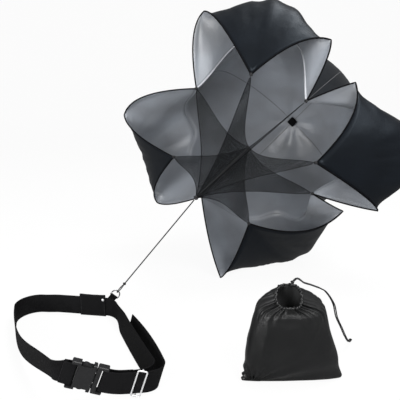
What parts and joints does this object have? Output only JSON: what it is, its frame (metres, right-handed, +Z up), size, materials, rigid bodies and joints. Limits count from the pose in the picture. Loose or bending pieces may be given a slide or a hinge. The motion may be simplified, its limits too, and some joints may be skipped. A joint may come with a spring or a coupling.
{
  "type": "speed parachute with belt and bag",
  "caption": "Running speed parachute: black and silver canopy with mesh corners, tether, waist belt with quick-release buckle, and a drawstring bag.",
  "frame": {"origin": "middle of the set's box in plan, on the floor under it", "axes": "+X to the picture's right, from the belt's left end to the canopy's right petal; +Y away from the viewer, from the bag towards the canopy's apex; +Z up"},
  "size_m": [0.9602, 0.8457, 0.7383],
  "materials": {
    "canopy_fabric": "satin",
    "net": "matte",
    "webbing": "matte",
    "buckle_plastic": "satin",
    "steel": "satin",
    "cord": "matte",
    "bag_fabric": "satin"
  },
  "bodies": {
    "belt": {"belt_webbing": "webbing", "tail_strap": "webbing", "housing_strap": "webbing", "buckle_housing": "buckle_plastic"},
    "plug": {"buckle_plug": "buckle_plastic", "plug_strap": "webbing"},
    "arm_upper": {"buckle_arm_upper": "buckle_plastic"},
    "arm_lower": {"buckle_arm_lower": "buckle_plastic"},
    "adjuster": {"slide_adjuster": "steel"},
    "sleeve": {"belt_sleeve": "webbing", "sleeve_rivet": "steel", "anchor_strip": "webbing"},
    "tab": {"tether_tab": "webbing", "d_ring": "steel"},
    "bag": {"bag_body": "bag_fabric", "bag_hem": "bag_fabric", "drawstring_near": "cord", "drawstring_far": "cord", "neck_knot": "cord", "end_knot": "cord"},
    "canopy": {"apex_patch": "canopy_fabric", "bottom_hem_first": "canopy_fabric", "bottom_hem_second": "canopy_fabric", "bottom_net": "net", "bottom_petal": "canopy_fabric", "bottom_seam": "canopy_fabric", "bottom_tie": "cord", "bridle_knot": "cord", "centre_panel": "canopy_fabric", "left_hem_first": "canopy_fabric", "left_hem_second": "canopy_fabric", "left_net": "net", "left_petal": "canopy_fabric", "left_seam": "canopy_fabric", "left_tie": "cord", "lower_left_net": "net", "lower_left_tie": "cord", "lower_right_net": "net", "lower_right_tie": "cord", "net_core": "cord", "right_hem_first": "canopy_fabric", "right_hem_second": "canopy_fabric", "right_net": "net", "right_petal": "canopy_fabric", "right_seam": "canopy_fabric", "right_tie": "cord", "tether": "cord", "tether_knot": "cord", "tether_loop": "cord", "top_hem_first": "canopy_fabric", "top_hem_second": "canopy_fabric", "top_net": "net", "top_petal": "canopy_fabric", "top_seam": "canopy_fabric", "top_tie": "cord", "upper_left_net": "net", "upper_left_tie": "cord", "upper_right_net": "net", "upper_right_tie": "cord"}
  },
  "joints": [
    {"name": "plug_slide", "type": "slide", "parent": "belt", "child": "plug", "axis": [0.9305, 0.1308, -0.342], "range_m": [0, 0.008]},
    {"name": "arm_upper_flex", "type": "hinge", "parent": "plug", "child": "arm_upper", "pos_m": [-0.23661, -0.41032, 0.05332], "axis": [0.0907, -0.9873, -0.1308], "range_deg": [0, 12]},
    {"name": "arm_lower_flex", "type": "hinge", "parent": "plug", "child": "arm_lower", "pos_m": [-0.24654, -0.40778, 0.02726], "axis": [-0.0907, 0.9873, 0.1308], "range_deg": [0, 12]},
    {"name": "adjuster_slide", "type": "slide", "parent": "belt", "child": "adjuster", "axis": [0.9958, 0.0919, -0.0031], "range_m": [-0.005, 0.002]},
    {"name": "sleeve_slide", "type": "slide", "parent": "belt", "child": "sleeve", "axis": [0.9896, -0.1436, 0], "range_m": [-0.05, 0.001]},
    {"name": "tab_swing", "type": "hinge", "parent": "sleeve", "child": "tab", "pos_m": [-0.2807, -0.1089, 0.0294], "axis": [0, 0, 1], "range_deg": [-15, 15]},
    {"name": "canopy_pitch", "type": "hinge", "parent": "tab", "child": "canopy", "pos_m": [-0.25838, -0.10077, 0.054], "axis": [0.342, -0.9397, 0], "range_deg": [0, 25]},
    {"name": "bag_lift", "type": "slide", "parent": "belt", "child": "bag", "axis": [0, 0, 1], "range_m": [0, 0.2]}
  ],
  "couplings": [
    {"joint": "arm_upper_flex", "follows": "plug_slide", "rad_per_m": 26},
    {"joint": "arm_lower_flex", "follows": "plug_slide", "rad_per_m": 26}
  ]
}
